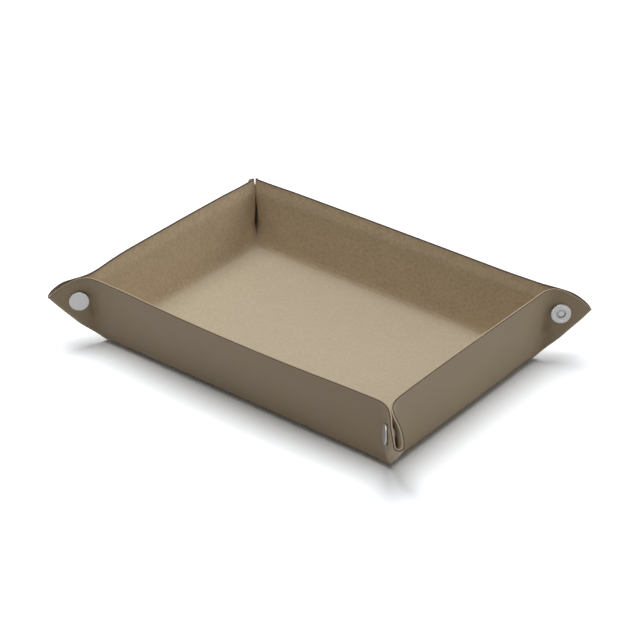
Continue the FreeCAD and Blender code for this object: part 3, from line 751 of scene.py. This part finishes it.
class TRAY_OT_floor(bpy.types.Operator):
    """Lay the floor of leather and suede"""

    bl_idname = "tray.floor"
    bl_label = "Floor"

    ROWS, COLUMNS = 40, 28

    def execute(self, context):
        settings = context.scene.tray_sheet
        x = np.linspace(SEAM - HALF_LENGTH, HALF_LENGTH - SEAM, self.ROWS)
        y = np.linspace(SEAM - HALF_WIDTH, HALF_WIDTH - SEAM, self.COLUMNS)
        pattern = np.meshgrid(x, y, indexing="ij")
        no_edge = [np.zeros(len(x))] * 4
        patch = FoldedSheet(settings).patch(*pattern)
        leather, lining = layers("floor", None, patch, pattern, no_edge, settings)
        for piece, node in ((leather, "leather_base"), (lining, "lining_base")):
            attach(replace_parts(piece, node), "base")
        return {"FINISHED"}


class TRAY_OT_walls(bpy.types.Operator):
    """Raise the four walls"""

    bl_idname = "tray.walls"
    bl_label = "Walls"

    BEND = 8 * MM          # the hinge's share of the wall, to each side of the floor line
    LOW_SHARE = 0.42       # share of a wall's height that has the denser rows
    LOW_ROWS, HIGH_ROWS = 34, 28
    COLUMNS = 121

    def execute(self, context):
        settings = context.scene.tray_sheet
        sheet = FoldedSheet(settings)
        stations = np.concatenate([np.linspace(0, self.LOW_SHARE, self.LOW_ROWS),
                                   np.linspace(self.LOW_SHARE, 1, self.HIGH_ROWS)[1:]])
        rows, edge = rim_rows(-SEAM, stations, settings)
        # Columns gather towards the corners as sin t.
        even = np.linspace(-1, 1, self.COLUMNS)
        share = gathered(even, np.sin(even * np.pi / 2))
        for side, (ox, oy) in WALLS.items():
            half, reach = (HALF_LENGTH, HALF_WIDTH) if oy else (HALF_WIDTH, HALF_LENGTH)
            end = half + np.where(rows < 0, rows, -rows * math.tan(WALL_CUT))
            along = end[:, None] * share[None, :]
            out = np.broadcast_to((reach + rows)[:, None], along.shape)
            pattern = (along, oy * out) if oy else (ox * out, along)
            patch = sheet.patch(*pattern)
            leather, lining = layers(side + "_wall", side, patch, pattern, edge, settings)
            line = np.array([ox * reach, oy * reach, GLUE_HEIGHT])
            for piece, node in ((leather, "leather_wall_"), (lining, "lining_wall_")):
                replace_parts(piece, node + side)
                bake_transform(piece)
        return {"FINISHED"}


def ear_sides():
    """Each ear half: its name, its CAD ending, its corner's signs and whether it is the long wall's."""
    return [(f"{corner}_{half}_ear", f"{half}_{corner}", signs, half == "long")
            for corner, signs in CORNERS.items() for half in ("long", "short")]


def to_frame(vector, signs, is_long):
    """A vector given as (along the wall, out of the wall, up), in the frame of one corner's half."""
    along, out, up = vector
    return np.array([signs[0] * (along if is_long else out), signs[1] * (out if is_long else along), up])


def corner_point(signs):
    """The base corner in the glue plane."""
    return np.array([signs[0] * HALF_LENGTH, signs[1] * HALF_WIDTH, GLUE_HEIGHT])


def ear_pattern(rho, turn, signs, is_long):
    """Pattern coordinates from the distance and the angle at the base corner, the angle from the wall's
    upright. Over the wall, the distance is the height instead, so that the rim goes straight on."""
    rho = rho / np.cos(np.minimum(turn, 0))
    along, out = rho * np.sin(turn), rho * np.cos(turn)
    dx, dy = (along, out) if is_long else (out, along)
    return signs[0] * (HALF_LENGTH + dx), signs[1] * (HALF_WIDTH + dy)


class TRAY_OT_ears(bpy.types.Operator):
    """Pinch the corners into ears with folded edges"""

    bl_idname = "tray.ears"
    bl_label = "Ears"

    BEND = 7 * MM          # the hinge's share of an ear, to each side of the corner line
    KEEP = 0.12            # depth that the folded strip keeps when the tray lies flat
    NEAREST = 0.05 * MM    # where the panels begin, beside the base corner
    STRIP, STRIP_SHARE = 4.5 * MM, 0.25   # width of the folded strip, at most and as a share of the distance
    ROWS, COLUMNS, STRIP_COLUMNS = 62, 46, 15
    GATHER = 1.6           # power by which the rows gather towards the base corner

    def execute(self, context):
        settings = context.scene.tray_sheet
        sheet = FoldedSheet(settings)
        even = np.linspace(0, 1, self.ROWS)
        rows, edge = rim_rows(self.NEAREST, gathered(even, even**self.GATHER), settings)
        rho = rows[:, None]
        strip = np.minimum(self.STRIP, self.STRIP_SHARE * rho)
        strip_turn = DIAGONAL - np.arcsin(strip / rho)
        turn = -WALL_CUT + (strip_turn + WALL_CUT) * np.linspace(0, 1, self.COLUMNS)
        # The strip's columns gather towards the folded edge as 1 - cos t.
        to_edge = strip * (1 - np.cos(np.linspace(np.pi / 2, 0, self.STRIP_COLUMNS)))
        fold = DIAGONAL - np.arcsin(to_edge / rho)
        # Directions away from the corner line, within the wall and within the ear, and the ear's normal.
        wall_way = (math.cos(FAN), -math.sin(FAN) * math.sin(LEAN), -math.sin(FAN) * math.cos(LEAN))
        ear_way = (math.cos(TILT) * ROOT_HALF, math.cos(TILT) * ROOT_HALF, -math.sin(TILT))
        normal_way = (-ROOT_HALF, ROOT_HALF, 0)
        for stem, ending, signs, is_long in ear_sides():
            wall = ending.split("_")[1 if is_long else 2]
            corner = corner_point(signs)
            start = corner - self.BEND * to_frame(wall_way, signs, is_long)
            stop = corner + self.BEND * to_frame(ear_way, signs, is_long)
            normal = to_frame(normal_way, signs, is_long)
            panel_pattern = ear_pattern(rho, turn, signs, is_long)
            strip_pattern = ear_pattern(rho, fold, signs, is_long)
            panels, strips = [layers(name, wall, sheet.patch(*pattern), pattern, edge, settings)
                              for name, pattern in ((stem, panel_pattern), (stem + "_fold", strip_pattern))]
            for panel, strip_piece, node in zip(panels, strips, ("leather_ear_", "lining_ear_")):
                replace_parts(panel, node + ending)
                "wall_" + wall
                "ear_" + ending
                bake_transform(panel)
                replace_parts(strip_piece, node + ending)
                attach(strip_piece, "ear_" + ending)
                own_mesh(strip_piece)
        return {"FINISHED"}


def snap_seat(sheet, node, signs, is_long):
    """Point and normal of the glue surface under a snap piece. The middle of its CAD node, along the
    diagonal and up, turned by TILT into the ear, gives its distance and angle at the base corner."""
    mesh = frame["nodes"][node].data
    points = np.empty(3 * len(mesh.vertices), np.float32)
    mesh.vertices.foreach_get("co", points)
    points = points.reshape(-1, 3) - corner_point(signs)
    away = points @ (np.array([signs[0], signs[1], 0]) * ROOT_HALF)
    away, height = (away.min() + away.max()) / 2, (points[:, 2].min() + points[:, 2].max()) / 2
    rise = away * math.sin(TILT) + height * math.cos(TILT)
    beside = (away * math.cos(TILT) - height * math.sin(TILT)) / sheet.TAKE_UP
    turn = math.atan2(beside, rise) + FAN
    x, y = ear_pattern(np.array([math.hypot(rise, beside)]), np.array([turn]), signs, is_long)
    point, normal = sheet.patch(x, y)
    return point[0], normal[0]


class TRAY_OT_snaps(bpy.types.Operator):
    """Press the snaps into the ears"""

    bl_idname = "tray.snaps"
    bl_label = "Snaps"

    # Steps of a flange's lower edge: in from the radius, and over the leather.
    LOWER_EDGE = ((0, 0.25 * MM), (0.15 * MM, 0.05 * MM), (0.4 * MM, 0))
    POST, POST_DEPTH = 1.7 * MM, 1.2 * MM   # radius of a cap's post, and how far posts and barrels reach in
    BARREL = 0.2 * MM                       # wall of an eyelet's barrel
    BOTTOM, DOME = 0.3 * MM, 0.6 * MM       # the hollow's bottom over the leather, and the dome over that
    CROWN_POINTS, DOME_POINTS, EDGE_POINTS, LIP_POINTS = 12, 9, 7, 6   # along the profiles' curves

    def execute(self, context):
        sheet, settings = FoldedSheet(context.scene.tray_sheet), context.scene.tray_snaps
        seat = context.scene.tray_sheet.leather_thickness
        profiles = {"cap": self.cap_profile(seat, settings), "eyelet": self.eyelet_profile(seat, settings)}
        for corner, signs in CORNERS.items():
            for kind, half in (("cap", "long"), ("eyelet", "short")):
                node = f"snap_{kind}_{corner}"
                point, normal = snap_seat(sheet, node, signs, half == "long")
                piece = lathe(f"{kind}_{corner}", "snap_metal", profiles[kind], point, normal)
                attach(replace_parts(piece, node), f"ear_{half}_{corner}")
            for kind, slot in (("socket", "snap_metal"), ("stud", "snap_metal"), ("spring", "snap_spring")):
                node = frame["nodes"][f"snap_{kind}_{corner}"]
                node.data.materials.clear()
                node.data.materials.append(finish(slot))
        return {"FINISHED"}

    def rounded(self, radius, height, settings):
        """Quarter round at the top edge of a flange."""
        arc = np.linspace(0, np.pi / 2, self.EDGE_POINTS)
        r = settings.edge_round
        return np.stack([radius - r + r * np.sin(arc), height - r + r * np.cos(arc)], -1)

    def under(self, radius, bore, seat):
        """A flange's lower edge, its underside on the leather, and the post or barrel through it."""
        edge = [(radius - inwards, seat + over) for inwards, over in self.LOWER_EDGE]
        return edge + [(bore, seat), (bore, seat - self.POST_DEPTH), (0, seat - self.POST_DEPTH)]

    def cap_profile(self, seat, settings):
        """A face crowned as 1 - s^2, with s from 0 at its middle to 1, a rounded edge, and the underside."""
        radius, height = settings.cap_diameter / 2, seat + settings.cap_height
        share = np.linspace(0, 1, self.CROWN_POINTS)
        flat_radius = radius - settings.edge_round
        face = np.stack([flat_radius * share, height + settings.cap_crown * (1 - share**2)], -1)
        edge = self.rounded(radius, height, settings)[1:]
        return np.concatenate([face, edge, self.under(radius, self.POST, seat)])

    def eyelet_profile(self, seat, settings):
        """A low dome of 1 - s^2 in a hollow's bottom, a flange with rounded edges, and the underside."""
        radius, height = settings.eyelet_diameter / 2, seat + settings.eyelet_height
        hollow, r = settings.eyelet_hollow / 2, settings.edge_round
        bottom = seat + self.BOTTOM
        share = np.linspace(0, 1, self.DOME_POINTS)
        dome = np.stack([(hollow - self.BARREL) * share, bottom + self.DOME * (1 - share**2)], -1)
        arc = np.linspace(0, np.pi / 2, self.LIP_POINTS)
        lip = np.stack([hollow + r - r * np.cos(arc), height - r + r * np.sin(arc)], -1)
        edge = self.rounded(radius, height, settings)
        under = self.under(radius, hollow + self.BARREL, seat)
        return np.concatenate([dome, [(hollow, bottom)], lip, edge, under])


class TRAY_PT_panel(bpy.types.Panel):
    """Lists the tray's pieces and sizes"""

    bl_idname = "TRAY_PT_panel"
    bl_label = "Valet Tray"
    bl_space_type = "VIEW_3D"
    bl_region_type = "UI"
    bl_category = "Tray"

    def draw(self, context):
        for operator in OPERATORS:
            self.layout.operator(operator.bl_idname)
        for key, group in SETTINGS.items():
            box = self.layout.box()
            box.label(text=group.__doc__)
            for name in group.__annotations__:
                box.prop(getattr(context.scene, key), name)


OPERATORS = (TRAY_OT_stage, TRAY_OT_floor, TRAY_OT_walls, TRAY_OT_ears, TRAY_OT_snaps)
CLASSES = (*SETTINGS.values(), *OPERATORS, TRAY_PT_panel)


def register():
    for cls in CLASSES:
        bpy.utils.register_class(cls)
    for key, group in SETTINGS.items():
        setattr(bpy.types.Scene, key, PointerProperty(type=group))


def unregister():
    for key in SETTINGS:
        delattr(bpy.types.Scene, key)
    for cls in reversed(CLASSES):
        bpy.utils.unregister_class(cls)


def main():
    register()
    for operator in OPERATORS:
        group, name = operator.bl_idname.split(".")
        getattr(getattr(bpy.ops, group), name)()


if __name__ == "__main__":
    main()
